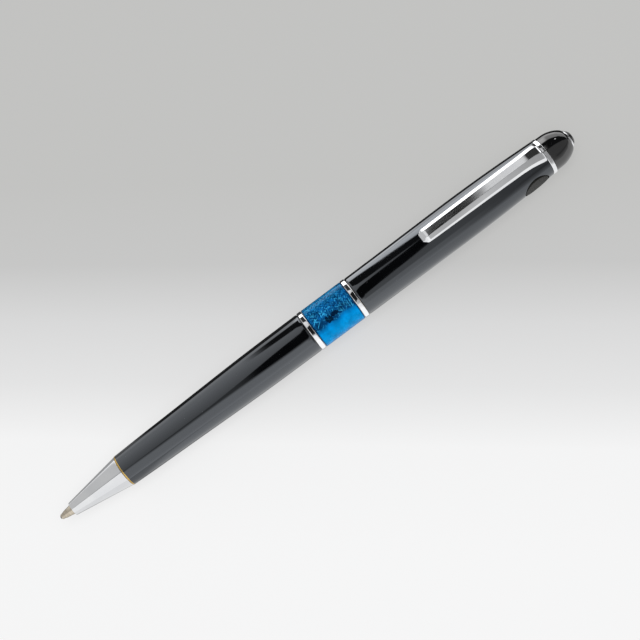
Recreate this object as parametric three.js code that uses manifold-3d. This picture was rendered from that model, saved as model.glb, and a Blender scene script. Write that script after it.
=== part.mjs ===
// A push-button ballpoint pen with a metal tube refill, a pocket clip and a release button on its side.
// Millimetres, +Z up. The pen lies along X with its writing tip towards -X and its clip on top.
// Stations are distances from the writing tip, measured along the pen. The origin is on the table,
// under the middle of the pen.

import * as THREE from 'three';
import { mergeVertices } from 'three/addons/utils/BufferGeometryUtils.js';
import Module from 'manifold-3d';

// Driving dimensions: the outside
const penLength = 140;
const sides = 32;
const largestRadius = 5.0;

const noseFront = 3.3;
const noseRear = 17.3;
const noseFrontRadius = 1.6;
const noseRearRadius = 3.72;

const ringWidth = 1.1;
const ringRadius = 4.875;
const frontRingStart = 68.15;
const bandStart = 69.3;
const bandEnd = 79.95;
const bandRadius = 4.85;
const rearBarrelStart = 81.15;

const clipRingStart = 131.9;
const clipRingEnd = 132.9;
const clipRingRadius = 4.35;
const domeEnd = 138.75;
const bezelEnd = 139.15;

// Driving dimensions: the release button in the barrel's side
const releaseCentre = 127.2;
const releaseLength = 6.4;
const releaseWidth = 4.8;
const releaseProud = 0.15;

// Driving dimensions: fits
const seam = 0.05;
const runningGap = 0.05;
const holeGap = 0.12;

// Driving dimensions: the refill and its spring
const ballRadius = 0.5;
const tipRadius = 1.17;
const refillLength = 106.8;
const tubeStart = 12.65;
const tubeEnd = 104.8;
const tubeRadius = 1.6;
const tubeBore = 1.36;
const collarStart = 29.6;
const collarRadius = 2.2;
const springStart = 16.05;
const springTurns = 9;
const springWire = 0.18;
const springCoilRadius = 1.99;

// Driving dimensions: the push mechanism
const buttonTravel = 5.0;
const buttonRadius = 1.75;
const buttonStart = 131.0;
const rodRadius = 1.2;
const grooveRadius = 0.8;
const rodStart = 106.85;
const rodEnd = 134.0;
const stopStart = 107.3;
const stopWidth = 0.8;
const stopRadius = 2.4;
const housingStart = 106.0;
const housingRadius = 3.75;
const housingShoulder = 130.95;
const neckRadius = 3.2;
const neckEnd = 136.0;
const barrelBore = 3.8;
const wideBore = 4.2;
const plateThickness = 0.8;
const plateHalfWidth = 2.3;

// Driving dimensions: the threaded coupler between the halves
const couplerStart = 60.5;
const couplerEnd = 92.0;
const threadRadius = 3.53;
const couplerBore = 2.6;

// Where the pen's axis runs over the table: the middle of a flat of the widest part
const axisHeight = largestRadius * Math.cos(Math.PI / sides);

const wasm = await Module();
wasm.setup();

// Materials
const lacquer = new THREE.MeshStandardMaterial({ color: 0x0a0b0e, roughness: 0.12, metalness: 0.1 });
const chrome = new THREE.MeshStandardMaterial({ color: 0xd9dadc, roughness: 0.08, metalness: 1.0 });
const blueResin = new THREE.MeshStandardMaterial({ color: 0x0f6fb5, roughness: 0.15, metalness: 0.2 });
const blackPlastic = new THREE.MeshStandardMaterial({ color: 0x111214, roughness: 0.3, metalness: 0.0 });
const brass = new THREE.MeshStandardMaterial({ color: 0xb08d57, roughness: 0.3, metalness: 1.0 });
const nickelSilver = new THREE.MeshStandardMaterial({ color: 0xb4a892, roughness: 0.25, metalness: 1.0 });
const steel = new THREE.MeshStandardMaterial({ color: 0x9a9ca0, roughness: 0.35, metalness: 1.0 });
const carbide = new THREE.MeshStandardMaterial({ color: 0x6f7175, roughness: 0.2, metalness: 1.0 });
const housingPlastic = new THREE.MeshStandardMaterial({ color: 0x2a2c30, roughness: 0.6, metalness: 0.0 });
const plugPlastic = new THREE.MeshStandardMaterial({ color: 0xd8d8d2, roughness: 0.6, metalness: 0.0 });

const pen = new THREE.Group();
pen.position.set(-penLength / 2, 0, axisHeight);

function place(name, geometry, material) {
  const mesh = new THREE.Mesh(geometry, material);
  mesh.name = name;
  pen.add(mesh);
}

// A turned piece: its outline is a list of [station, radius], outside first from front to back.
// A flat of the turned prism faces straight down, so that the pen can rest on it.
function turned(outline, count = sides) {
  const points = outline.map(([station, radius]) => new THREE.Vector2(radius, station));
  const closed = outline[0][1] > 0;
  if (closed) {
    points.push(points[0].clone());
  }
  const geometry = new THREE.LatheGeometry(points, count, Math.PI / count, 2 * Math.PI);
  geometry.rotateZ(-Math.PI / 2);
  return geometry;
}

function box(fromStation, toStation, y0, y1, z0, z1) {
  const geometry = new THREE.BoxGeometry(toStation - fromStation, y1 - y0, z1 - z0);
  geometry.translate((fromStation + toStation) / 2, (y0 + y1) / 2, (z0 + z1) / 2);
  return geometry;
}

function solid(geometry) {
  const bare = geometry.clone();
  bare.deleteAttribute('normal');
  bare.deleteAttribute('uv');
  const merged = mergeVertices(bare, 1e-4);
  const mesh = new wasm.Mesh({
    numProp: 3,
    vertProperties: new Float32Array(merged.attributes.position.array),
    triVerts: new Uint32Array(merged.index.array),
  });
  return new wasm.Manifold(mesh);
}

function geometryOf(manifold) {
  const mesh = manifold.getMesh();
  const geometry = new THREE.BufferGeometry();
  geometry.setAttribute('position', new THREE.BufferAttribute(new Float32Array(mesh.vertProperties), 3));
  geometry.setIndex(new THREE.BufferAttribute(new Uint32Array(mesh.triVerts), 1));
  geometry.computeVertexNormals();
  return geometry;
}

// A skin over rings of points: each ring has the same number of points. The ends are capped with the
// triangles that are given, as places in a ring.
function skinned(rings, cap) {
  const count = rings[0].length;
  const index = [];
  for (let r = 0; r < rings.length - 1; r += 1) {
    for (let p = 0; p < count; p += 1) {
      const a = r * count + p;
      const b = r * count + (p + 1) % count;
      index.push(a, b, a + count, b, b + count, a + count);
    }
  }
  const last = (rings.length - 1) * count;
  for (const [a, b, c] of cap) {
    index.push(a, c, b);
    index.push(last + a, last + b, last + c);
  }
  const geometry = new THREE.BufferGeometry();
  geometry.setAttribute('position', new THREE.Float32BufferAttribute(rings.flat(2), 3));
  geometry.setIndex(index);
  geometry.computeVertexNormals();
  return geometry;
}

// The triangles that fill a ring which lies square across the pen
function crossCap(ring) {
  return THREE.ShapeUtils.triangulateShape(ring.map(([, y, z]) => new THREE.Vector2(y, z)), []);
}

// Front half: the nose cone is turned from brass and chromed, and screws into the front barrel
function buildNose() {
  const threadEnd = 24.3;
  const outline = [
    [noseFront, noseFrontRadius - 0.12],
    [noseFront + 0.12, noseFrontRadius],
    [noseRear - 0.15, noseRearRadius],
    [noseRear, noseRearRadius - 0.12],
    [noseRear, 3.0],
    [threadEnd, 3.0],
    [threadEnd, 2.45],
    [springStart - 0.25, 2.45],
    [springStart - 0.25, tubeRadius + 0.15],
    [11.7, tubeRadius + 0.15],
    [11.7, tipRadius + 0.09],
    [noseFront, tipRadius + 0.09],
  ];
  place('nose_cone', turned(outline), chrome);
}

function buildFrontBarrel() {
  const start = noseRear + seam;
  const end = frontRingStart - seam;
  const outside = [
    [start, 3.68],
    [start + 0.12, 3.78],
    [21, 3.93],
    [26.3, 4.07],
    [31.6, 4.2],
    [36.9, 4.33],
    [42.2, 4.48],
    [47.4, 4.61],
    [52.7, 4.72],
    [58, 4.78],
    [end - 0.12, 4.8],
    [end, 4.7],
  ];
  const inside = [
    [end, threadRadius + 0.07],
    [40, threadRadius + 0.07],
    [32, 3.3],
    [25, 3.3],
    [25, 3.0 + runningGap],
    [start, 3.0 + runningGap],
  ];
  place('front_barrel', turned([...outside, ...inside]), lacquer);
}

// The two chromed rings and the blue resin band between them, all threaded onto the coupler
function buildTrimRing(name, start, bore) {
  const edge = 0.12;
  const end = start + ringWidth;
  const outline = [
    [start, ringRadius - edge],
    [start + edge, ringRadius],
    [end - edge, ringRadius],
    [end, ringRadius - edge],
    [end, bore],
    [start, bore],
  ];
  place(name, turned(outline), chrome);
}

function buildBand() {
  const edge = 0.25;
  const start = bandStart + 0.02;
  const end = bandEnd - 0.02;
  const outline = [
    [start, bandRadius - 0.12],
    [start + edge, bandRadius],
    [end - edge, bandRadius],
    [end, bandRadius - 0.12],
    [end, 4.05],
    [start, 4.05],
  ];
  place('center_band', turned(outline), blueResin);
}

function buildCoupler() {
  const outline = [
    [couplerStart, threadRadius - 0.3],
    [couplerStart + 0.4, threadRadius],
    [bandStart + 0.02, threadRadius],
    [bandStart + 0.02, 4.0],
    [bandEnd - 0.02, 4.0],
    [bandEnd - 0.02, barrelBore - runningGap],
    [couplerEnd - 0.4, barrelBore - runningGap],
    [couplerEnd, barrelBore - 0.35],
    [couplerEnd, couplerBore],
    [couplerStart, couplerBore],
  ];
  place('center_coupler', turned(outline), brass);
}

// Rear half: a lacquered brass tube with an oval hole for the release button and a slot for the clip's
// tongue
const rearOutside = [
  [rearBarrelStart + 0.02, 4.7],
  [rearBarrelStart + 0.25, 4.8],
  [88, 4.82],
  [95, 4.87],
  [102, 4.93],
  [107, largestRadius],
  [113, largestRadius],
  [118, 4.88],
  [121.5, 4.78],
  [124, 4.71],
  [127, 4.6],
  [129.5, 4.5],
  [clipRingStart - 0.15, 4.38],
  [clipRingStart - 0.02, 4.3],
];

// An oval bar that runs across the barrel's wall on the release button's side
function releaseOval(grow, y0, y1) {
  const shape = new THREE.Shape();
  shape.absellipse(0, 0, releaseLength / 2 + grow, releaseWidth / 2 + grow, 0, 2 * Math.PI, false);
  const bar = new THREE.ExtrudeGeometry(shape, { depth: y1 - y0, bevelEnabled: false, curveSegments: 28 });
  bar.rotateX(-Math.PI / 2);
  bar.translate(releaseCentre, y0, 0);
  return bar;
}

function buildRearBarrel() {
  const shoulder = housingShoulder + seam;
  const end = clipRingStart - 0.02;
  const inside = [
    [end, neckRadius + 0.1],
    [shoulder, neckRadius + 0.1],
    [shoulder, barrelBore],
    [housingStart - 1, barrelBore],
    [housingStart - 1.5, wideBore],
    [couplerEnd + 0.5, wideBore],
    [couplerEnd, barrelBore],
    [rearBarrelStart + 0.02, barrelBore],
  ];
  const tube = solid(turned([...rearOutside, ...inside]));
  const hole = solid(releaseOval(holeGap, -largestRadius - 1, -1.5));
  const tongueSlot = solid(box(131.02, clipRingStart + 1, -1.35, 1.35, neckRadius - 0.2, 6));
  place('rear_barrel', geometryOf(tube.subtract(hole).subtract(tongueSlot)), lacquer);
}

// The release button follows the barrel along its length, but is flatter across, so that its long edges
// stand a little proud
function buildReleaseButton() {
  const inner = barrelBore + 0.06;
  const flatter = 1.3;
  const crown = rearOutside
    .filter(([station]) => station > 117 && station < clipRingStart - 0.1)
    .map(([station, radius]) => [station, radius + flatter]);
  const first = crown[0][0];
  const last = crown[crown.length - 1][0];
  const crownSolid = turned([[first, 0], ...crown, [last, 0]]);
  crownSolid.translate(0, flatter - releaseProud, 0);
  const oval = solid(releaseOval(0, -largestRadius - 1, -1.5));
  const hollow = solid(turned([[first - 1, 0], [first - 1, inner], [last + 1, inner], [last + 1, 0]]));
  const stem = solid(box(releaseCentre - 1.1, releaseCentre + 1.1, -inner - 0.2, -3.03, -1.2, 1.2));
  const button = solid(crownSolid).intersect(oval).subtract(hollow).add(stem);
  place('release_button', geometryOf(button), blackPlastic);
}

// The latch plate slides across the rod. Its hole stands clear of the rod at both ends of its travel.
function buildLatchPlate() {
  const outline = [
    [-3.0, -1.5], [-2.2, -plateHalfWidth], [1.6, -plateHalfWidth], [2.4, -1.5],
    [2.4, 1.5], [1.6, plateHalfWidth], [-2.2, plateHalfWidth], [-3.0, 1.5],
  ];
  const shape = new THREE.Shape(outline.map(([y, z]) => new THREE.Vector2(y, z)));
  const hole = new THREE.Path();
  hole.absarc(-0.5, 0, rodRadius + 0.55, 0, 2 * Math.PI, true);
  shape.holes.push(hole);
  const sheet = { depth: plateThickness, bevelEnabled: false, curveSegments: 10 };
  const plate = new THREE.ExtrudeGeometry(shape, sheet);
  plate.rotateZ(Math.PI / 2);
  plate.rotateY(Math.PI / 2);
  plate.translate(releaseCentre + 0.1 - plateThickness / 2, 0, 0);
  place('latch_plate', plate, steel);
}

// A bowed leaf that presses the plate, and so the release button, outwards
function buildLatchSpring() {
  const thickness = 0.15;
  const halfWidth = 1.2;
  const line = [
    [117.2, 2.55], [119.5, 2.55], [121.2, 2.85], [123.2, 3.15], [125.2, 3.1], [126.6, 2.75], [127.6, 2.46],
  ];
  const rings = line.map(([station, y]) => [
    [station, y, -halfWidth],
    [station, y + thickness, -halfWidth],
    [station, y + thickness, halfWidth],
    [station, y, halfWidth],
  ]);
  place('latch_spring', skinned(rings, crossCap(rings[0])), steel);
}

// The mechanism housing guides the rod, carries the latch plate, and its neck holds the dome cap
function buildHousing() {
  const rodBore = rodRadius + runningGap;
  const counterboreEnd = stopStart + stopWidth + buttonTravel + seam;
  const outline = [
    [housingStart, housingRadius - 0.2],
    [housingStart + 0.2, housingRadius],
    [housingShoulder, housingRadius],
    [housingShoulder, neckRadius],
    [neckEnd, neckRadius],
    [neckEnd, buttonRadius + 0.07],
    [buttonStart - 0.2, buttonRadius + 0.07],
    [buttonStart - 0.2, rodBore],
    [counterboreEnd, rodBore],
    [counterboreEnd, stopRadius + 0.2],
    [housingStart, stopRadius + 0.2],
  ];
  const halfPlate = plateThickness / 2 + 0.1;
  const plateStation = releaseCentre + 0.1;
  const body = solid(turned(outline));
  const buttonPocket = solid(box(123.5, 130.6, -5, -2.1, -5, 5));
  const plateSlot = solid(box(plateStation - halfPlate, plateStation + halfPlate, -5, 5, -2.4, 2.4));
  const springPocket = solid(box(116.8, plateStation, 2.45, 5, -1.5, 1.5));
  const hollowed = body.subtract(buttonPocket).subtract(plateSlot).subtract(springPocket);
  place('mechanism_housing', geometryOf(hollowed), housingPlastic);
}

// The push rod ends in the push button, and has a groove where the latch plate bites
function buildPushRod() {
  const grooveStart = releaseCentre + 0.1 - plateThickness / 2 - 0.15;
  const grooveEnd = releaseCentre + 0.1 + plateThickness / 2 + 0.15;
  const clipStart = stopStart - 0.02;
  const clipEnd = stopStart + stopWidth + 0.02;
  const outline = [
    [rodStart, 0],
    [rodStart, rodRadius - 0.15],
    [rodStart + 0.15, rodRadius],
    [clipStart, rodRadius],
    [clipStart, rodRadius - 0.3],
    [clipEnd, rodRadius - 0.3],
    [clipEnd, rodRadius],
    [grooveStart, rodRadius],
    [grooveStart, grooveRadius],
    [grooveEnd, grooveRadius],
    [grooveEnd, rodRadius],
    [rodEnd, rodRadius],
    [rodEnd, 0],
  ];
  place('push_rod', turned(outline), steel);
}

function buildRodStopClip() {
  const outline = [
    [stopStart, stopRadius],
    [stopStart + stopWidth, stopRadius],
    [stopStart + stopWidth, rodRadius - 0.27],
    [stopStart, rodRadius - 0.27],
  ];
  place('rod_stop_clip', turned(outline), steel);
}

// The push button: a domed bar with a socket in its inner end, pressed onto the rod
function buildPushButton() {
  const outline = [
    [buttonStart, 0],
    [buttonStart, buttonRadius - 0.1],
    [buttonStart + 0.1, buttonRadius],
    [bezelEnd, buttonRadius],
    [bezelEnd + 0.4, 1.6],
    [penLength - 0.15, 1.15],
    [penLength - 0.03, 0.6],
    [penLength, 0],
  ];
  const socketRadius = rodRadius + 0.03;
  const socketStart = buttonStart - 1;
  const socketEnd = rodEnd + 0.1;
  const socket = [
    [socketStart, 0],
    [socketStart, socketRadius],
    [socketEnd, socketRadius],
    [socketEnd, 0],
  ];
  const button = solid(turned(outline)).subtract(solid(turned(socket)));
  place('push_button', geometryOf(button), blackPlastic);
}

// The top: a chromed ring under the clip's root, the black dome cap and the thin bright bezel in its end
function buildClipRing() {
  const edge = 0.1;
  const outline = [
    [clipRingStart, clipRingRadius - edge],
    [clipRingStart + edge, clipRingRadius],
    [clipRingEnd - 0.02 - edge, clipRingRadius],
    [clipRingEnd - 0.02, clipRingRadius - edge],
    [clipRingEnd - 0.02, neckRadius + 0.1],
    [clipRingStart, neckRadius + 0.1],
  ];
  place('clip_ring', turned(outline), chrome);
}

function buildDomeCap() {
  const outline = [
    [clipRingEnd, 4.12],
    [clipRingEnd + 0.12, 4.22],
    [134.8, 4.2],
    [135.4, 4.09],
    [136.1, 3.93],
    [136.8, 3.69],
    [137.4, 3.44],
    [137.9, 3.16],
    [138.3, 2.89],
    [138.6, 2.63],
    [domeEnd, 2.42],
    [domeEnd, 2.25],
    [137.9, 2.25],
    [137.9, buttonRadius + 0.12],
    [neckEnd + 0.15, buttonRadius + 0.12],
    [neckEnd + 0.15, neckRadius + runningGap],
    [clipRingEnd, neckRadius + runningGap],
  ];
  place('dome_cap', turned(outline), lacquer);
}

function buildBezel() {
  const outline = [
    [137.93, 2.2],
    [domeEnd + 0.1, 2.2],
    [bezelEnd - 0.08, 2.06],
    [bezelEnd, 1.96],
    [bezelEnd - 0.05, buttonRadius + 0.07],
    [137.93, buttonRadius + 0.07],
  ];
  place('button_bezel', turned(outline), chrome);
}

// The clip: a folded sheet channel with a flat top and sloping sides. Each section gives the station, then
// the half width and the height over the pen's axis of the top, of the crease along the side and of the
// lower edge, and the roof inside, which dips to the barrel in the contact rib near the free end.
function buildClip() {
  const roof = 5.3;
  const sections = [
    { at: 99.6, top: [0.55, 5.5], crease: [0.85, 5.3], edge: [0.95, 5.02], roof: 5.06 },
    { at: 100.6, top: [0.75, 5.95], crease: [1.55, 5.45], edge: [1.75, 4.98], roof: 5.12 },
    { at: 101.1, top: [0.8, 6.05], crease: [1.6, 5.45], edge: [1.8, 4.9], roof },
    { at: 102, top: [0.8, 6.07], crease: [1.62, 5.47], edge: [1.82, 4.88], roof },
    { at: 103.1, top: [0.8, 6.08], crease: [1.64, 5.48], edge: [1.84, 4.87], roof: 5.03 },
    { at: 104.2, top: [0.8, 6.1], crease: [1.65, 5.5], edge: [1.85, 4.86], roof },
    { at: 110, top: [0.8, 6.2], crease: [1.68, 5.55], edge: [1.9, 4.86], roof },
    { at: 116, top: [0.8, 6.3], crease: [1.72, 5.6], edge: [1.95, 4.8], roof },
    { at: 122, top: [0.8, 6.4], crease: [1.75, 5.6], edge: [1.97, 4.65], roof },
    { at: 127, top: [0.8, 6.45], crease: [1.8, 5.5], edge: [2.02, 4.45], roof },
    { at: 129.5, top: [0.85, 6.35], crease: [1.95, 5.25], edge: [2.2, 4.15], roof: 5.1 },
    { at: 130.8, top: [0.95, 6.15], crease: [2.15, 5.0], edge: [2.45, 3.85], roof: 4.8 },
    { at: 131.5, top: [1.0, 5.75], crease: [2.2, 4.75], edge: [2.5, 3.75], roof: 4.6 },
    { at: 131.85, top: [1.0, 5.2], crease: [2.1, 4.55], edge: [2.45, 3.75], roof: 4.5 },
  ];
  const rings = sections.map(({ at, top, crease, edge, roof: inside }) => {
    const half = [
      [top[0], top[1]],
      [crease[0], crease[1]],
      [edge[0], edge[1]],
      [edge[0] - 0.3, edge[1] + 0.12],
      [edge[0] - 0.75, inside],
    ];
    const right = half.map(([y, z]) => [at, -y, z]);
    const left = half.map(([y, z]) => [at, y, z]).reverse();
    return [...left, ...right];
  });
  const arm = solid(skinned(rings, crossCap(rings[0])));
  const tongue = solid(box(131.15, 131.75, -1.2, 1.2, neckRadius + 0.25, 4.95));
  place('clip', geometryOf(arm.add(tongue)), chrome);
}

// The refill: a ball in a turned tip, a metal tube with a raised collar for the spring, and an end plug
function buildRefill() {
  const ball = new THREE.SphereGeometry(ballRadius, 14, 10);
  ball.rotateZ(Math.PI / 2);
  ball.translate(ballRadius, 0, 0);
  place('writing_ball', ball, carbide);

  const socket = ballRadius + 0.04;
  const channel = 0.25;
  const tip = [
    [0.3, 0.57],
    [0.9, 0.66],
    [noseFront - 0.1, tipRadius],
    [12.0, tipRadius],
    [12.0, tubeRadius],
    [tubeStart - 0.03, tubeRadius],
    [tubeStart - 0.03, tubeBore - 0.03],
    [17, tubeBore - 0.03],
    [17, channel],
    [1.08, channel],
    [0.9, socket],
    [0.5, socket],
    [0.3, 0.5],
  ];
  place('refill_tip', turned(tip, 20), nickelSilver);

  const tube = [
    [tubeStart, tubeRadius],
    [collarStart, tubeRadius],
    [collarStart, collarRadius],
    [collarStart + 0.6, collarRadius],
    [collarStart + 0.9, tubeRadius],
    [tubeEnd, tubeRadius],
    [tubeEnd, tubeBore],
    [tubeStart, tubeBore],
  ];
  place('refill_tube', turned(tube, 20), nickelSilver);

  const plug = [
    [102, tubeBore - 0.03],
    [tubeEnd + 0.03, tubeBore - 0.03],
    [tubeEnd + 0.03, tubeRadius],
    [refillLength - 0.2, tubeRadius],
    [refillLength, tubeRadius - 0.2],
    [refillLength, 0.4],
    [102, 0.4],
  ];
  place('refill_plug', turned(plug, 20), plugPlastic);
}

// The return spring: one unbroken coil between the step in the nose and the refill's collar
function buildReturnSpring() {
  const stepsPerTurn = 12;
  const wireSides = 5;
  const first = springStart + springWire;
  const last = collarStart - springWire - 0.1;
  const steps = springTurns * stepsPerTurn;
  const pitch = (last - first) / springTurns;
  const slope = Math.atan2(pitch, 2 * Math.PI * springCoilRadius);
  const rings = [];
  for (let step = 0; step <= steps; step += 1) {
    const turn = (step / stepsPerTurn) * 2 * Math.PI;
    const station = first + (pitch * step) / stepsPerTurn;
    const ring = [];
    for (let side = 0; side < wireSides; side += 1) {
      const around = -(side / wireSides) * 2 * Math.PI;
      const out = springWire * Math.cos(around);
      const along = springWire * Math.sin(around);
      const radius = springCoilRadius + out;
      const lean = -along * Math.sin(slope);
      ring.push([
        station + along * Math.cos(slope),
        radius * Math.cos(turn) - lean * Math.sin(turn),
        radius * Math.sin(turn) + lean * Math.cos(turn),
      ]);
    }
    rings.push(ring);
  }
  const wireCap = [[0, 1, 2], [0, 2, 3], [0, 3, 4]];
  place('return_spring', skinned(rings, wireCap), steel);
  const leastGap = pitch * Math.cos(slope) - 2 * springWire;
  console.log(`return spring: least gap between its turns ${leastGap.toFixed(2)} mm`);
}

buildNose();
buildFrontBarrel();
buildTrimRing('front_trim_ring', frontRingStart, threadRadius + 0.1);
buildBand();
buildTrimRing('rear_trim_ring', bandEnd, barrelBore + 0.02);
buildCoupler();
buildRearBarrel();
buildReleaseButton();
buildLatchPlate();
buildLatchSpring();
buildHousing();
buildPushRod();
buildRodStopClip();
buildPushButton();
buildClipRing();
buildDomeCap();
buildBezel();
buildClip();
buildRefill();
buildReturnSpring();

export default pen;
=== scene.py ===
# A black lacquered push-button ballpoint pen with chromed trim, a blue marbled band and a pocket clip.
# It lies along X with its writing tip towards -X and its clip on top. Stations are millimetres from the
# writing tip, measured along the pen.

import math

import bmesh
import bpy
from mathutils import Matrix, Vector


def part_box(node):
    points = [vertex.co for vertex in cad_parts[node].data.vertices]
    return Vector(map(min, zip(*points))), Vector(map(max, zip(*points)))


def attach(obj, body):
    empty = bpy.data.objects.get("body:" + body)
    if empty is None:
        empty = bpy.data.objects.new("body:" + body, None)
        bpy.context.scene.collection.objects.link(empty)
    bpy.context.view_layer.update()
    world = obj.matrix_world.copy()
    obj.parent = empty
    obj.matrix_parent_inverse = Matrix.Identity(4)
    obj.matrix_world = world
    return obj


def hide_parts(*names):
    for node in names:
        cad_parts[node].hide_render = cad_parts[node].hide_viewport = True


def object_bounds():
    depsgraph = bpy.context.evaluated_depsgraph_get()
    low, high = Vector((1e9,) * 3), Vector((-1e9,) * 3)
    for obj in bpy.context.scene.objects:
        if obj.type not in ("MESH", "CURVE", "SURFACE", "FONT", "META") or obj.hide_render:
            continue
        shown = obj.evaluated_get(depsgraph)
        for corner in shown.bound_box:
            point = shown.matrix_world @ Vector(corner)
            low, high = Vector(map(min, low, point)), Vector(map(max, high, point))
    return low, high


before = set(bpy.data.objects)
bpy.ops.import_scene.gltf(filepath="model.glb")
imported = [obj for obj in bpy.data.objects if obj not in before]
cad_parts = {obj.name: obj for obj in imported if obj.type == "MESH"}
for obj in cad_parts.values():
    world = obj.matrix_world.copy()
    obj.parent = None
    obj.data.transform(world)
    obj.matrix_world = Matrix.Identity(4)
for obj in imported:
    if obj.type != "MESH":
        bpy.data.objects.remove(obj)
cad_low, cad_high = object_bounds()

# Where the pen is: its tip is at the frame's low end, and its axis is level with the middle of the ring
# under the clip's root, which is turned true round it.
MM = 0.001
tip_x = cad_low.x
ring_low, ring_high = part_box("clip_ring")
axis_height = (ring_low.z + ring_high.z) / 2
pen_length = (cad_high.x - cad_low.x) / MM


def at(station, across=0.0, up=0.0):
    """The place of a station on the pen's axis, moved across and up from it, in metres."""
    return Vector((tip_x + station * MM, across * MM, axis_height + up * MM))


# Camera. It looks down on the pen from the side that the clip is rolled towards, and is turned so that
# the pen runs from the lower left of the picture to the upper right.
roll = math.radians(70)
slant = math.radians(36.78)
camera_distance = 0.324
along_pen = Vector((1, 0, 0))
to_camera = Vector((0, -math.cos(roll), math.sin(roll)))
across_pen = Vector((0, math.sin(roll), math.cos(roll)))
picture_right = math.cos(slant) * along_pen - math.sin(slant) * across_pen
picture_up = math.sin(slant) * along_pen + math.cos(slant) * across_pen
aim_right, aim_up = 0.84 * MM, 1.55 * MM
aim = at(pen_length / 2) + aim_right * picture_right + aim_up * picture_up

camera_data = bpy.data.cameras.new("camera")
camera_data.lens = 83
camera_data.sensor_width = 36
camera_data.clip_start = 0.01
camera = bpy.data.objects.new("camera", camera_data)
bpy.context.scene.collection.objects.link(camera)
facing = Matrix((picture_right, picture_up, to_camera)).transposed().to_4x4()
camera.matrix_world = Matrix.Translation(aim + camera_distance * to_camera) @ facing
bpy.context.scene.camera = camera
bpy.context.scene.view_settings.view_transform = "Standard"


# Floor: a pale sweep of paper, with painted shade that greys it away from the camera. It is partly lit, so
# that it keeps the pen's soft shadow, and partly shown at this painted tone to the camera. To the pen's
# polished surfaces it shows a painted pattern of light and shade.
def node(tree, kind, inputs=None, **settings):
    """A shader node with its settings, its inputs either joined to a socket or given a value."""
    made = tree.nodes.new(kind)
    for setting, value in settings.items():
        setattr(made, setting, value)
    for socket, value in (inputs or {}).items():
        if isinstance(value, bpy.types.NodeSocket):
            tree.links.new(value, made.inputs[socket])
        else:
            made.inputs[socket].default_value = value
    return made


def maths(tree, operation, first, second=0.0, third=0.0):
    """One sum of one, two or three values."""
    return node(tree, "ShaderNodeMath", {0: first, 1: second, 2: third}, operation=operation).outputs[0]


def between(tree, value, low, high, from_value=0.0, to_value=1.0, smooth=True):
    """A value that goes from one level to another while the given value passes from low to high."""
    kind = "SMOOTHSTEP" if smooth else "LINEAR"
    places = {"Value": value, "From Min": low, "From Max": high, "To Min": from_value, "To Max": to_value}
    return node(tree, "ShaderNodeMapRange", places, interpolation_type=kind).outputs["Result"]


def mixed(tree, share, first, second):
    """A plain mix of two values."""
    return node(tree, "ShaderNodeMix", {0: share, 2: first, 3: second}, data_type="FLOAT").outputs[0]


def ramp(tree, value, stops):
    """A colour ramp through (place, colour) stops."""
    made = node(tree, "ShaderNodeValToRGB", {0: value})
    elements = made.color_ramp.elements
    while len(elements) < len(stops):
        elements.new(0.5)
    for element, (place, colour) in zip(elements, stops):
        element.position = place
        element.color = (*colour, 1)
    return made.outputs["Color"]


floor_size = 1.6
bpy.ops.object.select_all(action="DESELECT")
bpy.ops.mesh.primitive_plane_add(size=floor_size)
floor = bpy.context.object
floor.name = "floor"
paper = bpy.data.materials.new("sweep_paper")
paper.use_nodes = True
paper_tree = paper.node_tree
paper_tree.nodes.clear()
place = node(paper_tree, "ShaderNodeTexCoord").outputs["Object"]
# The paper's tone is painted shade: it greys along the picture's upward direction, away from the camera,
# where the light falls off.
away = node(paper_tree, "ShaderNodeVectorMath", {0: place, 1: tuple(picture_up)}, operation="DOT_PRODUCT")
tone_from, tone_to = -0.045, 0.035
tone_place = between(paper_tree, away.outputs["Value"], tone_from, tone_to, smooth=False)
shaded_paper_tone = ramp(paper_tree, tone_place, [
    (0.0, (0.895, 0.895, 0.895)),
    (0.26, (0.88, 0.88, 0.88)),
    (0.42, (0.755, 0.755, 0.755)),
    (0.59, (0.68, 0.68, 0.68)),
    (0.76, (0.56, 0.56, 0.555)),
    (1.0, (0.535, 0.535, 0.525)),
])

# The polished surfaces see a painted pattern of light and shade on the floor: a deep shade beyond the pen
# and lit paper past it, and on the camera's side lit paper with a contact shade along the pen. The zones are
# lengths of the floor along the pen, in metres.
sides = node(paper_tree, "ShaderNodeSeparateXYZ", {0: place})
along_floor, across_floor = sides.outputs["X"], sides.outputs["Y"]
nose_zone, middle_zone, clip_zone = (-0.052, -0.045), (-0.012, 0.012), (0.028, 0.036)
rear_zone = (0.015, 0.04)
soft_edge = 0.004
shade_width = between(paper_tree, along_floor, *middle_zone, 0.060, 0.026)
past_shade = maths(paper_tree, "SUBTRACT", across_floor, shade_width)
far_light = between(paper_tree, along_floor, *middle_zone, 1.0, 2.8)
clip_shade = between(paper_tree, along_floor, *clip_zone, 0.0, 0.9)
far_light = maths(paper_tree, "SUBTRACT", far_light, clip_shade)
deep_shade = between(paper_tree, along_floor, *nose_zone, 0.35, 0.05)
shade_share = between(paper_tree, past_shade, -soft_edge, soft_edge)
far_side = mixed(paper_tree, shade_share, deep_shade, far_light)
contact = between(paper_tree, along_floor, -0.054, -0.050, -0.0028, -0.0046)
past_contact = maths(paper_tree, "SUBTRACT", across_floor, contact)
near_light = between(paper_tree, along_floor, *nose_zone, 0.82, 1.15)
near_light = between(paper_tree, along_floor, *rear_zone, near_light, 0.95)
contact_light = between(paper_tree, along_floor, *rear_zone, 0.4, 0.85)
near_side = between(paper_tree, past_contact, 0.0, -0.0018, contact_light, near_light)
side_share = between(paper_tree, across_floor, -soft_edge, soft_edge)
painted_polish_light = mixed(paper_tree, side_share, near_side, far_side)

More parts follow.
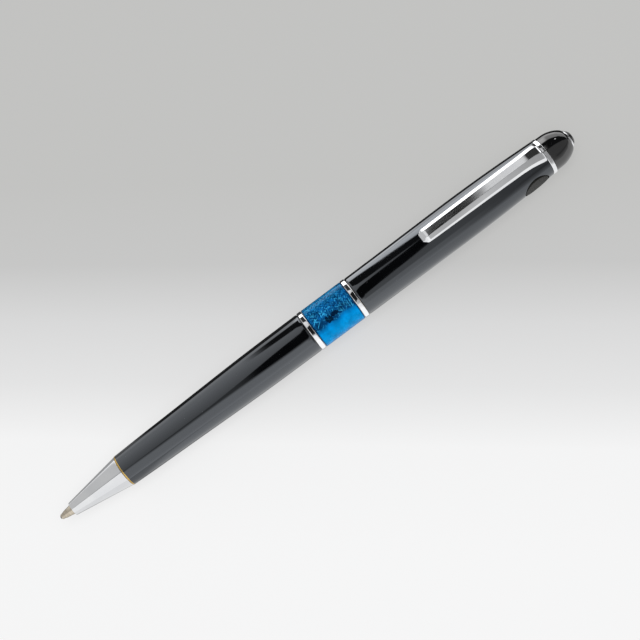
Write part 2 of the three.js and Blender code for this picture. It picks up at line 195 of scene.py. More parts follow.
rays = node(paper_tree, "ShaderNodeLightPath")
shown = node(paper_tree, "ShaderNodeEmission", {"Color": shaded_paper_tone, "Strength": 1.0})
# Polished surfaces are shown this painted light and shade instead of the paper's lit tone.
painted_reflection = node(paper_tree, "ShaderNodeEmission", {"Color": (1, 1, 1, 1), "Strength": painted_polish_light})
lit = node(paper_tree, "ShaderNodeBsdfDiffuse", {"Color": shaded_paper_tone})
shown_share = 0.8
to_eye = maths(paper_tree, "MULTIPLY", rays.outputs["Is Camera Ray"], shown_share)
seen = node(paper_tree, "ShaderNodeMixShader", {0: to_eye, 1: lit.outputs[0], 2: shown.outputs[0]})
to_polish = maths(paper_tree, "MAXIMUM", rays.outputs["Is Glossy Ray"], rays.outputs["Is Transmission Ray"])
paper_out = node(paper_tree, "ShaderNodeMixShader", {
    0: to_polish,
    1: seen.outputs[0],
    2: painted_reflection.outputs[0],
})
node(paper_tree, "ShaderNodeOutputMaterial", {"Surface": paper_out.outputs[0]})
floor.data.materials.append(paper)


# Studio light. The world gives an even pale light. To polished surfaces it shows two long soft boxes that
# run along the pen with a grey strip between two dark flags, a card over the clip's root, a card of two
# tones before the nose, and a small round lamp. The turn is the angle round the pen from the camera's
# direction, and the lean is the angle along it, both in degrees. A level of 1 is white.
def build_studio(world):
    world.use_nodes = True
    sky = world.node_tree
    sky.nodes.clear()
    look = node(sky, "ShaderNodeTexCoord").outputs["Generated"]

    def part(direction):
        """How much of the direction looked in points a given way."""
        inputs = {0: look, 1: tuple(direction)}
        return node(sky, "ShaderNodeVectorMath", inputs, operation="DOT_PRODUCT").outputs["Value"]

    turn_angle = maths(sky, "ARCTAN2", part(across_pen), part(to_camera))
    turn = maths(sky, "MULTIPLY", turn_angle, math.degrees(1))
    lean = maths(sky, "MULTIPLY", maths(sky, "ARCSINE", part(along_pen)), math.degrees(1))

    def past(edge, soft=2.0):
        """From 0 to 1 as the turn passes an edge."""
        return between(sky, maths(sky, "SUBTRACT", turn, edge), -soft, soft)

    def sloped(start, slope):
        """A turn angle that changes steadily with the lean."""
        return maths(sky, "MULTIPLY_ADD", lean, slope, start)

    def fading(low, high, from_value, to_value):
        """A value that changes evenly over a range of lean."""
        return between(sky, lean, low, high, from_value, to_value, smooth=False)

    # The lower box grows brighter round to the floor. Over the rear half a grey card covers its upper part,
    # and at the clip's root a shade lies below that card.
    rear_share = between(sky, lean, -1, 1)
    near_low = fading(0, 10, 0.95, 0.33)
    near_wide = fading(-2, 17, 1.2, 0.6)
    floor_level = 1.25
    lower_box = mixed(sky, between(sky, turn, -50, -75), near_low, near_wide)
    lower_box = mixed(sky, between(sky, turn, -80, -115), lower_box, floor_level)
    root_shade = between(sky, lean, 10, 15, 0.0, 0.13)
    root_shade = maths(sky, "MULTIPLY", root_shade, between(sky, turn, -51, -45))
    lower_box = maths(sky, "SUBTRACT", lower_box, root_shade)
    card_share = maths(sky, "MULTIPLY", past(-36.0, 4.0), rear_share)
    lower_box = mixed(sky, card_share, lower_box, fading(2, 12, 0.45, 0.28))

    # The first flag's edge runs askew, and the flag turns grey towards the pen's two ends.
    rear_edge = maths(sky, "ADD", fading(0, 5, -26, 4), fading(5, 8, 0, 15))
    flag_edge = maths(sky, "MAXIMUM", sloped(-29.0, -1.75), rear_edge)
    flag_share = mixed(sky, rear_share, past(flag_edge, 8.0), past(flag_edge, 2.5))
    flag_front = between(sky, lean, -4.5, -7, 0.01, 0.2)
    first_flag = maths(sky, "MAXIMUM", flag_front, between(sky, lean, 7, 11, 0.01, 0.23))

    # The grey strip, the second flag and the upper box follow further round.
    strip_start = maths(sky, "MINIMUM", maths(sky, "MAXIMUM", sloped(29.0, 3.4), 0.0), 62.0)
    strip_fade = between(sky, lean, 1, 5, 1.0, 0.3)
    strip = maths(sky, "MULTIPLY", between(sky, turn, 0, 70, 0.45, 0.85, smooth=False), strip_fade)
    second_start = maths(sky, "MAXIMUM", sloped(57.0, -3.6), 22.0)
    second_flag = between(sky, lean, -5, -2.5, 0.9, 0.03)
    upper_start = fading(1.9, 4.1, 98, 76)
    upper_box = between(sky, lean, -2, 0.5, 1.0, 2.6)
    upper_box = mixed(sky, between(sky, lean, 11, 17), upper_box, 1.2)

    level = mixed(sky, flag_share, lower_box, first_flag)
    level = mixed(sky, past(strip_start), level, strip)
    level = mixed(sky, past(second_start), level, second_flag)
    level = mixed(sky, past(upper_start, 4.0), level, upper_box)
    studio_strength = 1.12
    level = maths(sky, "MULTIPLY", level, studio_strength)

    clip_card_level = 0.75
    clip_card = maths(sky, "MULTIPLY", past(26.0), past(54.0, -2.0))
    clip_card = maths(sky, "MULTIPLY", clip_card, between(sky, lean, 6.0, 6.4))
    clip_card = maths(sky, "MULTIPLY", clip_card, between(sky, lean, 11.1, 10.4))
    level = mixed(sky, clip_card, level, clip_card_level)

    lamp_level = 5.0
    lamp_lean, lamp_turn = math.radians(39), math.radians(58)
    lamp_side = math.cos(lamp_turn) * to_camera + math.sin(lamp_turn) * across_pen
    lamp_way = math.sin(lamp_lean) * along_pen + math.cos(lamp_lean) * lamp_side
    level = mixed(sky, between(sky, part(lamp_way), 0.9982, 0.9993), level, lamp_level)

    nose_lower, nose_upper, nose_line_level = 0.92, 0.55, 0.2
    nose_level = mixed(sky, past(5.0, 1.0), nose_lower, nose_upper)
    nose_line = maths(sky, "MULTIPLY", past(3.2, 0.8), past(6.8, -0.8))
    nose_level = mixed(sky, nose_line, nose_level, nose_line_level)
    level = mixed(sky, between(sky, lean, -17, -22), level, nose_level)

    polished = node(sky, "ShaderNodeBackground", {"Color": (1, 1, 1, 1), "Strength": level})
    plain = node(sky, "ShaderNodeBackground", {"Color": (0.97, 0.98, 1, 1), "Strength": 0.55})
    rays = node(sky, "ShaderNodeLightPath")
    both = node(sky, "ShaderNodeMixShader", {
        0: rays.outputs["Is Glossy Ray"],
        1: plain.outputs[0],
        2: polished.outputs[0],
    })
    node(sky, "ShaderNodeOutputWorld", {"Surface": both.outputs[0]})


bpy.context.scene.world = bpy.data.worlds.new("studio")
build_studio(bpy.context.scene.world)

key_data = bpy.data.lights.new("overhead_light", "AREA")
key_data.shape = "SQUARE"
key_data.size = 0.9
key_data.energy = 8
key = bpy.data.objects.new("overhead_light", key_data)
bpy.context.scene.collection.objects.link(key)
key.location = (0.05, -0.25, 1.0)
key.rotation_euler = (-key.location).to_track_quat("-Z", "Y").to_euler()
key.visible_glossy = False


# Nose cone. A plain cone turned from brass and chromed, screwed into the front barrel. The refill comes
# out through the hole in its end.
def flowing(points, spacing=1.2):
    """Points along a smooth line through a few (station, radius) points."""
    places = [Vector(p) for p in points]
    run = [0.0]
    for before, after in zip(places, places[1:]):
        run.append(run[-1] + (after - before).length)
    slopes = []
    for i in range(len(places)):
        low, high = max(i - 1, 0), min(i + 1, len(places) - 1)
        slopes.append((places[high] - places[low]) / (run[high] - run[low]))
    line = []
    for i in range(len(places) - 1):
        length = run[i + 1] - run[i]
        count = max(1, round(length / spacing))
        for k in range(count):
            t = k / count
            start = places[i] * (2 * t**3 - 3 * t**2 + 1) + slopes[i] * length * (t**3 - 2 * t**2 + t)
            end = places[i + 1] * (3 * t**2 - 2 * t**3) + slopes[i + 1] * length * (t**3 - t**2)
            line.append(tuple(start + end))
    line.append(tuple(places[-1]))
    return line


def enlarged(times):
    """Scales the picked piece about the frame's origin and keeps the new size in its mesh. The truing of a
    piece weighs its faces by their area, and passes over areas as small as these at their real size."""
    bpy.context.object.scale = (times, times, times)
    bpy.ops.object.transform_apply(location=False, rotation=False, scale=True)


def finish_mesh(piece, edge=0.0, smooth=35):
    """Rounds a piece's sharp edges by a width in millimetres and smooths it up to an angle in degrees. The
    large faces keep their own direction, so that a reflection runs straight up to a rounded edge."""
    bpy.context.view_layer.objects.active = piece
    bpy.ops.object.select_all(action="DESELECT")
    piece.select_set(True)
    if edge:
        rounding = piece.modifiers.new("rounding", "BEVEL")
        rounding.width = edge * MM
        rounding.segments = 3
        rounding.limit_method = "ANGLE"
        rounding.angle_limit = math.radians(28)
        rounding.use_clamp_overlap = True
        bpy.ops.object.modifier_apply(modifier="rounding")
    bpy.ops.object.shade_smooth_by_angle(angle=math.radians(smooth))
    enlarged(1 / MM)
    truing = piece.modifiers.new("truing", "WEIGHTED_NORMAL")
    truing.keep_sharp = True
    bpy.ops.object.modifier_apply(modifier="truing")
    enlarged(MM)


def turned(name, outline, edge=0.05, steps=128):
    """A turned piece. Its outline of (station, radius) points, in millimetres, runs from the outside's
    front to its rear and back along the inside. It is drawn point by point and spun round the axis."""
    bpy.ops.object.select_all(action="DESELECT")
    start = at(outline[0][0], 0, outline[0][1])
    bpy.ops.mesh.primitive_plane_add(size=MM, location=start)
    piece = bpy.context.object
    piece.name = name
    bpy.ops.object.mode_set(mode="EDIT")
    bpy.ops.mesh.merge(type="CENTER")
    closed = outline[0][1] > 0
    stops = outline + outline[:1] if closed else outline
    for before, after in zip(stops, stops[1:]):
        move = ((after[0] - before[0]) * MM, 0, (after[1] - before[1]) * MM)
        bpy.ops.mesh.extrude_vertices_move(TRANSFORM_OT_translate={"value": move})
    bpy.ops.mesh.select_all(action="SELECT")
    bpy.ops.mesh.spin(steps=steps, angle=2 * math.pi, center=(0, 0, axis_height), axis=(1, 0, 0))
    bpy.ops.mesh.select_all(action="SELECT")
    bpy.ops.mesh.remove_doubles(threshold=0.002 * MM)
    bpy.ops.mesh.normals_make_consistent(inside=False)
    bpy.ops.object.mode_set(mode="OBJECT")
    bpy.ops.object.transform_apply(location=True, rotation=True, scale=True)
    finish_mesh(piece, edge)
    return piece


def settle(piece, body, slot, finish, *nodes):
    """Gives a piece its finish and its place in the frame, and hides the solids that it stands for."""
    piece.data.materials.clear()
    piece.data.materials.append(finish)
    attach(piece, body)
    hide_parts(*nodes)


def surface(name, **sockets):
    """A new material, and its tree and main shader, with plain values set on the shader's own sockets."""
    made = bpy.data.materials.new(name)
    made.use_nodes = True
    shader = made.node_tree.nodes["Principled BSDF"]
    for socket, value in sockets.items():
        shader.inputs[socket.replace("_", " ")].default_value = value
    return made, made.node_tree, shader


def build_fine_scratches():
    """A shared effect: hairline scratches and faint smudges left by handling, as a roughness and a
    bump height."""
    group = bpy.data.node_groups.new("handling_marks", "ShaderNodeTree")
    group.interface.new_socket("Lowest", in_out="INPUT", socket_type="NodeSocketFloat")
    group.interface.new_socket("Highest", in_out="INPUT", socket_type="NodeSocketFloat")
    group.interface.new_socket("Roughness", in_out="OUTPUT", socket_type="NodeSocketFloat")
    group.interface.new_socket("Height", in_out="OUTPUT", socket_type="NodeSocketFloat")
    given = group.nodes.new("NodeGroupInput")
    place = node(group, "ShaderNodeTexCoord").outputs["Object"]
    smudge = node(group, "ShaderNodeTexNoise", {"Vector": place, "Scale": 160.0, "Detail": 3.0})
    long = node(group, "ShaderNodeMapping", {"Vector": place, "Scale": (250.0, 4200.0, 4200.0)})
    hair = node(group, "ShaderNodeTexNoise", {"Vector": long.outputs[0], "Scale": 1.0, "Detail": 2.0})
    smudged = maths(group, "MULTIPLY", smudge.outputs[0], 0.65)
    marks = maths(group, "MULTIPLY_ADD", hair.outputs[0], 0.35, smudged)
    spread = between(group, marks, 0.35, 0.65, given.outputs["Lowest"], given.outputs["Highest"])
    out = group.nodes.new("NodeGroupOutput")
    group.links.new(spread, out.inputs["Roughness"])
    group.links.new(hair.outputs[0], out.inputs["Height"])
    return group


handling_marks = build_fine_scratches()


def handled(tree, shader, lowest, highest, depth):
    """Feeds a shader's roughness and normal from the handling marks. Depth is in millimetres."""
    marks = node(tree, "ShaderNodeGroup", node_tree=handling_marks)
    marks.inputs["Lowest"].default_value = lowest
    marks.inputs["Highest"].default_value = highest
    tree.links.new(marks.outputs["Roughness"], shader.inputs["Roughness"])
    bump = node(tree, "ShaderNodeBump", {"Height": marks.outputs["Height"], "Distance": depth * MM})
    tree.links.new(bump.outputs[0], shader.inputs["Normal"])


def build_clouded_metal(name, scale, stops, lowest, highest, depth):
    """A metal whose colour drifts a little in soft patches, through (place, colour) stops."""
    made, tree, shader = surface(name, Metallic=1.0)
    place = node(tree, "ShaderNodeTexCoord").outputs["Object"]
    cloud = node(tree, "ShaderNodeTexNoise", {"Vector": place, "Scale": scale}).outputs[0]
    tree.links.new(ramp(tree, cloud, stops), shader.inputs["Base Color"])
    handled(tree, shader, lowest, highest, depth)
    return made


chrome_stops = [(0.35, (0.80, 0.81, 0.83)), (0.65, (0.86, 0.87, 0.88))]
chrome = build_clouded_metal("polished_chrome", 220.0, chrome_stops, 0.04, 0.08, 0.0004)

nose_front, nose_rear = 3.3, 17.3
nose_front_radius, nose_rear_radius = 1.6, 3.72
nose_bore = 1.26
nose_line = flowing([(nose_front, nose_front_radius), (nose_rear, nose_rear_radius)], spacing=1.0)
nose = turned("nose_cone_shell", nose_line + [
    (nose_rear, 3.0),
    (24.3, 3.0),
    (24.3, 2.45),
    (15.8, 2.45),
    (15.8, 1.75),
    (11.7, 1.75),
    (11.7, nose_bore),
    (nose_front, nose_bore),
], edge=0.1)
settle(nose, "front_half", "chrome", chrome, "nose_cone")


# Refill tip and ball. The refill's end is turned from nickel silver, and its lip is rolled over the
# tungsten carbide ball that brings the ink to the paper.
def build_turned_metal(name, rings, dark, pale, lowest, highest, depth=0.001):
    """A turned or drawn metal, with fine rings round it left by the tool. Rings gives how fine they are
    along the pen and across it."""
    made, tree, shader = surface(name, Metallic=1.0)
    place = node(tree, "ShaderNodeTexCoord").outputs["Object"]
    along, across = rings
    drawn_out = node(tree, "ShaderNodeMapping", {"Vector": place, "Scale": (along, across, across)})
    lines = node(tree, "ShaderNodeTexNoise", {"Vector": drawn_out.outputs[0], "Scale": 1.0}).outputs[0]
    tree.links.new(ramp(tree, lines, [(0.3, dark), (0.7, pale)]), shader.inputs["Base Color"])
    handled(tree, shader, lowest, highest, depth)
    return made


nickel = build_turned_metal("turned_nickel_silver", (9000.0, 300.0), (0.52, 0.46, 0.37), (0.68, 0.61, 0.5),
                            0.16, 0.28, 0.0008)

refill_tip = turned("refill_point", [
    (0.3, 0.56),
    (0.9, 0.68),
    (1.15, 0.8),
    (3.15, 1.16),
    (12.0, 1.17),
    (12.0, 1.6),
    (12.62, 1.6),
    (12.62, 1.33),
    (17.0, 1.33),
    (17.0, 0.25),
    (1.08, 0.25),
    (0.9, 0.54),
    (0.5, 0.54),
    (0.3, 0.5),
], edge=0.03, steps=96)
settle(refill_tip, "refill", "nickel_silver", nickel, "refill_tip")

inked_stops = [(0.45, (0.32, 0.3, 0.28)), (0.62, (0.16, 0.15, 0.16))]
carbide = build_clouded_metal("carbide_ball", 2500.0, inked_stops, 0.15, 0.3, 0.0005)

ball_radius = 0.5
ball_steps = 24
ball_outline = [(0, 0)]
for ball_step in range(1, ball_steps):
    angle = math.pi * ball_step / ball_steps
    ball_outline.append((ball_radius * (1 - math.cos(angle)), ball_radius * math.sin(angle)))
ball_outline.append((2 * ball_radius, 0))
ball = turned("rolling_ball", ball_outline, edge=0, steps=48)
settle(ball, "ball", "carbide", carbide, "writing_ball")


# Front barrel. A brass tube, slightly cigar shaped, sprayed with deep black lacquer and polished. The
# bare brass of its end shows as a hair line against the nose cone.
def build_dust():
    """A shared effect: sparse specks of dust on a dark gloss."""
    group = bpy.data.node_groups.new("dust_specks", "ShaderNodeTree")
    group.interface.new_socket("Spacing", in_out="INPUT", socket_type="NodeSocketFloat")
    group.interface.new_socket("Specks", in_out="OUTPUT", socket_type="NodeSocketFloat")
    given = group.nodes.new("NodeGroupInput")
    place = node(group, "ShaderNodeTexCoord").outputs["Object"]
    cells = node(group, "ShaderNodeTexVoronoi", {"Vector": place, "Scale": given.outputs["Spacing"]})
    chosen = node(group, "ShaderNodeSeparateColor", {0: cells.outputs["Color"]})
    few = between(group, chosen.outputs["Red"], 0.8, 0.95)
    small = between(group, cells.outputs["Distance"], 0.1, 0.05)
    out = group.nodes.new("NodeGroupOutput")
    group.links.new(maths(group, "MULTIPLY", few, small), out.inputs["Specks"])
    return group


dust_specks = build_dust()


def dusted(tree, clean, dust, spacing):
    """A colour with dust specks over it."""
    specks = node(tree, "ShaderNodeGroup", node_tree=dust_specks)
    specks.inputs["Spacing"].default_value = spacing
    inputs = {0: specks.outputs["Specks"], 6: clean, 7: dust}
    return node(tree, "ShaderNodeMix", inputs, data_type="RGBA").outputs[2]


def build_gloss(name, dark, pale, ior, tint=(1, 1, 1, 1)):
    """Glossy black with a faint cloudiness, dust and handling marks. The tint is that of its shine."""
    made, tree, shader = surface(name, IOR=ior, Specular_Tint=tint)
    place = node(tree, "ShaderNodeTexCoord").outputs["Object"]
    cloud = node(tree, "ShaderNodeTexNoise", {"Vector": place, "Scale": 90.0, "Detail": 4.0})
    colour = ramp(tree, cloud.outputs[0], [(0.35, dark), (0.7, pale)])
    dust_colour, dust_spacing = (0.10, 0.10, 0.11, 1), 1500.0
    tree.links.new(dusted(tree, colour, dust_colour, dust_spacing), shader.inputs["Base Color"])
    handled(tree, shader, 0.03, 0.07, 0.0003)
    return made


lacquer_dark, lacquer_pale = (0.0003, 0.0004, 0.0006), (0.0012, 0.0013, 0.0018)
lacquer_ior, lacquer_tint = 1.96, (0.86, 0.92, 1, 1)
lacquer = build_gloss("black_lacquer", lacquer_dark, lacquer_pale, lacquer_ior, lacquer_tint)

brass = build_turned_metal("bare_brass", (7000.0, 200.0), (0.52, 0.33, 0.08), (0.72, 0.5, 0.16), 0.2, 0.32)

front_start, front_end = 17.35, 68.1
bare_width = 0.3
front_line = flowing([
    (front_start, 3.8), (front_start + bare_width, 3.807), (24, 4.01), (36, 4.31), (47, 4.6), (56, 4.76),
    (front_end - 0.45, 4.81),
]) + [(front_end - 0.22, 4.78), (front_end - 0.06, 4.7), (front_end, 4.6)]
front_barrel = turned("front_barrel_tube", front_line + [
    (front_end, 3.6),
    (40, 3.6),
    (32, 3.3),
    (25, 3.3),
    (25, 3.05),
    (front_start, 3.05),
], edge=0.06)
settle(front_barrel, "front_half", "black_lacquer", lacquer, "front_barrel")
front_barrel.data.materials.append(brass)
bare_until = at(front_start + bare_width).x
for face in front_barrel.data.polygons:
    if face.center.x < bare_until:
        face.material_index = 1


# Trim rings. Two narrow rings turned from brass and chromed, which close the joints on either side of the
# blue band. The front one is loose on the coupler, and the rear one is held between band and barrel.
def build_trim_ring(name, start, bore, body, node_name):
    """One ring from its first station, with a bore that fits what carries it."""
    radius, width, edge = 4.9, 1.12, 0.14
    ring = turned(name, [
        (start, radius - edge),
        (start + edge, radius),
        (start + width - edge, radius),
        (start + width, radius - edge),
        (start + width, bore),
        (start, bore),
    ], edge=0.05)
    settle(ring, body, "chrome", chrome, node_name)


build_trim_ring("front_ring", 68.14, 3.63, "coupling_ring", "front_trim_ring")
build_trim_ring("rear_ring", 79.96, 3.82, "rear_half", "rear_trim_ring")


# Centre band. A sleeve of cast blue resin, polished and glued onto the coupler. One side of it is a smooth
# azure, the other is mottled and crossed by fine pale needles, with a broken navy patch. The blue is the
# resin's own, but its layout follows the camera's view: the dark vein between the sides, where the band faces
# the camera, is painted shade, and the lighter blue round both sides is partly painted reflection.
band_start, band_end, band_radius = 69.33, 79.92, 4.85
# The mottled way runs across the pen as the camera sees it, and the vein's way points at the camera.
mottled_way = Vector((0, 0.94, 0.342))
camera_facing_way = Vector((0, -0.342, 0.94))
navy, patch_navy, end_navy = (0.001, 0.02, 0.07, 1), (0.001, 0.006, 0.022, 1), (0.001, 0.012, 0.045, 1)
pale_blue = (0.04, 0.42, 0.74, 1)
# Each navy patch by its station, its place across the vein, its length and its width.
patches = ((73.3, -0.35, 0.95, 0.75), (74.95, 0.0, 1.0, 0.55))


def blended(tree, share, first, second):
    """A plain mix of two colours."""
    return node(tree, "ShaderNodeMix", {0: share, 6: first, 7: second}, data_type="RGBA").outputs[2]


def build_marbling():
    """The band's colour, laid out by how far a point is towards the mottled side as the camera sees it, with
    a dark vein of painted shade where the band faces the camera.
    """
    made, tree, shader = surface("blue_marbled_resin", IOR=1.45, Specular_IOR_Level=0.07, Coat_Weight=0.02,
                                 Coat_Roughness=0.05, Specular_Tint=(0.1, 0.7, 1, 1))
    place = node(tree, "ShaderNodeTexCoord").outputs["Object"]
    # The noise's colour is a half on average, so the pattern's middle is moved by half a swirl to balance it.
    swirl = 1.2 * MM
    middle = at((band_start + band_end) / 2) + Vector((swirl, swirl, swirl)) / 2
    centre = node(tree, "ShaderNodeMapping", {"Vector": place, "Location": tuple(-middle)}).outputs[0]
    bend = node(tree, "ShaderNodeTexNoise", {"Vector": centre, "Scale": 380.0, "Detail": 2.0})
    warp = {0: bend.outputs["Color"], 1: (swirl, swirl, swirl), 2: centre}
    warped = node(tree, "ShaderNodeVectorMath", warp, operation="MULTIPLY_ADD").outputs[0]
    cloud = node(tree, "ShaderNodeTexNoise", {"Vector": warped, "Scale": 650.0, "Detail": 5.0}).outputs[0]
    side = node(tree, "ShaderNodeVectorMath", {0: warped, 1: tuple(mottled_way)}, operation="DOT_PRODUCT")
    side_place = between(tree, side.outputs["Value"], -band_radius * MM, band_radius * MM, smooth=False)
    # Painted shade: the ramp is darkest along the vein, where the band faces the camera, and lighter round
    # both sides, partly as painted reflection.
    colour = ramp(tree, side_place, [
        (0.12, (0.0, 0.28, 0.66)),
        (0.28, (0.0, 0.24, 0.61)),
        (0.37, (0.001, 0.15, 0.42)),
        (0.43, (0.002, 0.045, 0.145)),
        (0.52, (0.003, 0.055, 0.155)),
        (0.64, (0.002, 0.08, 0.25)),
        (0.8, (0.003, 0.09, 0.27)),
        (0.95, (0.01, 0.18, 0.42)),
    ])
    azure_until, mottled_from = -1.4 * MM, -0.3 * MM
    mottled = between(tree, side.outputs["Value"], azure_until, mottled_from)
    cloud_light = between(tree, cloud, 0.34, 0.66, 0.45, 1.5, smooth=False)
    light = mixed(tree, mottled, between(tree, cloud, 0.36, 0.64, 0.78, 1.12, smooth=False), cloud_light)
    colour = node(tree, "ShaderNodeVectorMath", {0: colour, 3: light}, operation="SCALE").outputs[0]
    rolled = node(tree, "ShaderNodeMapping", {"Vector": centre, "Rotation": (roll - math.pi / 2, 0, 0)})
    crowded = between(tree, bend.outputs[0], 0.44, 0.56, 0.45, 1.0)
    needled = maths(tree, "MULTIPLY", mottled, crowded)
    needle_length, needle_width = 2.2 * MM, 0.26 * MM
    needle_turns = (0.75, -0.6, 1.5)
    for turn in needle_turns:
        angled = node(tree, "ShaderNodeMapping", {
            "Vector": rolled.outputs[0],
            "Rotation": (0, 0, turn),
            "Scale": (needle_length, needle_width, needle_width),
        }, vector_type="TEXTURE").outputs[0]
        grain = node(tree, "ShaderNodeTexNoise", {"Vector": angled, "Scale": 1.0, "Detail": 1.0}).outputs[0]
        pale_needle = maths(tree, "MULTIPLY", between(tree, grain, 0.61, 0.68, 0.0, 0.8), needled)
        navy_needle = maths(tree, "MULTIPLY", between(tree, grain, 0.42, 0.34, 0.0, 0.6), mottled)
        colour = blended(tree, navy_needle, colour, navy)
        colour = blended(tree, pale_needle, colour, pale_blue)
    grit = node(tree, "ShaderNodeTexNoise", {"Vector": place, "Scale": 1900.0, "Detail": 3.0}).outputs[0]
    for station, across, length, width in patches:
        spot = at(station) + band_radius * MM * camera_facing_way + across * MM * mottled_way
        size_inverse = Vector((1 / length, 1 / width, 1 / width)) / MM
        local = node(tree, "ShaderNodeMapping", {
            "Vector": place,
            "Location": tuple(-spot * size_inverse),
            "Scale": tuple(size_inverse),
        }).outputs[0]
        reach = node(tree, "ShaderNodeVectorMath", {0: local}, operation="LENGTH").outputs["Value"]
        ragged = maths(tree, "MULTIPLY_ADD", grit, 2.4, reach)
        patch = between(tree, ragged, 2.35, 2.05, 0.0, 0.92)
        colour = blended(tree, patch, colour, patch_navy)
    sides = node(tree, "ShaderNodeSeparateXYZ", {0: centre})
    from_middle = maths(tree, "ABSOLUTE", maths(tree, "ADD", sides.outputs["X"], swirl / 2))
    half = (band_end - band_start) / 2 * MM
    shade_from, shade_to = half - 0.35 * MM, half - 0.1 * MM
    end_shade = between(tree, from_middle, shade_from, shade_to, 0.0, 0.75)
    colour = blended(tree, end_shade, colour, end_navy)
    tree.links.new(colour, shader.inputs["Base Color"])
    handled(tree, shader, 0.05, 0.11, 0.0003)
    return made


blue_resin = build_marbling()
band = turned("marbled_band", [
    (band_start, band_radius - 0.1),
    (band_start + 0.18, band_radius),
    (band_end - 0.18, band_radius),
    (band_end, band_radius - 0.1),
    (band_end, 4.05),
    (band_start, 4.05),
], edge=0.05)
settle(band, "rear_half", "blue_resin", blue_resin, "center_band")


# Rear barrel. The second lacquered brass tube, widest under the clip's free end. An oval hole in its side
# takes the release button, and a slot at its end takes the clip's tongue.
def cut(piece, cutter):
    """Cuts one mesh out of another, and deletes the cutter."""
    bpy.context.view_layer.objects.active = piece
    hole = piece.modifiers.new("hole", "BOOLEAN")
    hole.operation = "DIFFERENCE"
    hole.solver = "EXACT"
    hole.object = cutter
    bpy.ops.object.modifier_apply(modifier="hole")
    bpy.data.objects.remove(cutter)


def barrel_radius(station):
    """The rear barrel's outer radius at a station, from its outline."""
    for before, after in zip(rear_line, rear_line[1:]):
        if before[0] <= station <= after[0]:
            share = (station - before[0]) / (after[0] - before[0])
            return before[1] + share * (after[1] - before[1])
    return rear_line[-1][1]


rear_start, rear_end = 81.12, 131.86
rear_line = [(rear_start, 4.6), (rear_start + 0.06, 4.7), (rear_start + 0.22, 4.77)] + flowing([
    (rear_start + 0.45, 4.8), (92, 4.845), (102, 4.93), (110, 4.97), (118, 4.88), (125, 4.67),
    (rear_end, 4.38),
])
release_low, release_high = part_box("release_button")
release_station = ((release_low.x + release_high.x) / 2 - tip_x) / MM
release_length = (release_high.x - release_low.x) / MM
release_width = (release_high.z - release_low.z) / MM
rear_barrel = turned("rear_barrel_tube", rear_line + [
    (rear_end, 3.3),
    (131.0, 3.3),
    (131.0, 3.8),
    (105.0, 3.8),
    (104.5, 4.2),
    (92.5, 4.2),
    (92.0, 3.8),
    (rear_start, 3.8),
], edge=0.08)
bpy.ops.object.select_all(action="DESELECT")
bpy.ops.mesh.primitive_cylinder_add(vertices=96, radius=1, depth=4 * MM, location=at(release_station, -4.4),
                                    rotation=(math.pi / 2, 0, 0))
hole_cutter = bpy.context.object
hole_gap = 0.12
hole_cutter.scale = ((release_length / 2 + hole_gap) * MM, (release_width / 2 + hole_gap) * MM, 1)
bpy.ops.object.transform_apply(location=True, rotation=True, scale=True)
cut(rear_barrel, hole_cutter)
bpy.ops.object.select_all(action="DESELECT")
bpy.ops.mesh.primitive_cube_add(size=MM, location=at(131.9, 0, 4.6))
slot_cutter = bpy.context.object
slot_length, slot_width, slot_depth = 1.8, 2.7, 3.2
slot_cutter.scale = (slot_length, slot_width, slot_depth)
bpy.ops.object.transform_apply(location=True, rotation=True, scale=True)
cut(rear_barrel, slot_cutter)
finish_mesh(rear_barrel)
settle(rear_barrel, "rear_half", "black_lacquer", lacquer, "rear_barrel")


# Release button. A small oval moulded in black plastic, in the barrel's side a quarter turn from the clip.
# It follows the barrel along its length, is flatter across so that its long edges stand a little proud,
# and is dished.
def crown_height(station, across):
    """How far the release button's face stands out from the pen's axis."""
    flatter, dish = 4.0, 0.3
    radius = barrel_radius(station) + flatter
    from_middle = Vector(((station - release_station) * 2 / release_length, across * 2 / release_width))
    hollow = dish * max(0, 1 - from_middle.length_squared)
    return math.sqrt(radius * radius - across * across) - flatter - hollow


def crown_picked(piece, inward=1.0):
    """Lays the picked points on the crown, lowered near the button's rim so that the rim is round."""
    rim = 0.22
    drop = rim - math.sqrt(rim * rim - (rim - inward)**2) if inward < rim else 0
    shape = bmesh.from_edit_mesh(piece.data)
    for point in shape.verts:
        if point.select:
            station = (point.co.x - tip_x) / MM
            across = (point.co.z - axis_height) / MM
            point.co.y = -(crown_height(station, across) - drop) * MM
    bmesh.update_edit_mesh(piece.data)


def build_moulded(name, dark, pale, shine=0.5):
    """A plain moulded plastic with the fine grain of the mould."""
    made, tree, shader = surface(name, Specular_IOR_Level=shine)
    place = node(tree, "ShaderNodeTexCoord").outputs["Object"]
    grain = node(tree, "ShaderNodeTexNoise", {"Vector": place, "Scale": 3000.0, "Detail": 3.0}).outputs[0]
    tree.links.new(ramp(tree, grain, [(0.3, dark), (0.7, pale)]), shader.inputs["Base Color"])
    tree.links.new(between(tree, grain, 0.3, 0.7, 0.45, 0.6), shader.inputs["Roughness"])
    bump = node(tree, "ShaderNodeBump", {"Height": grain, "Distance": 0.002 * MM})
    tree.links.new(bump.outputs[0], shader.inputs["Normal"])
    return made


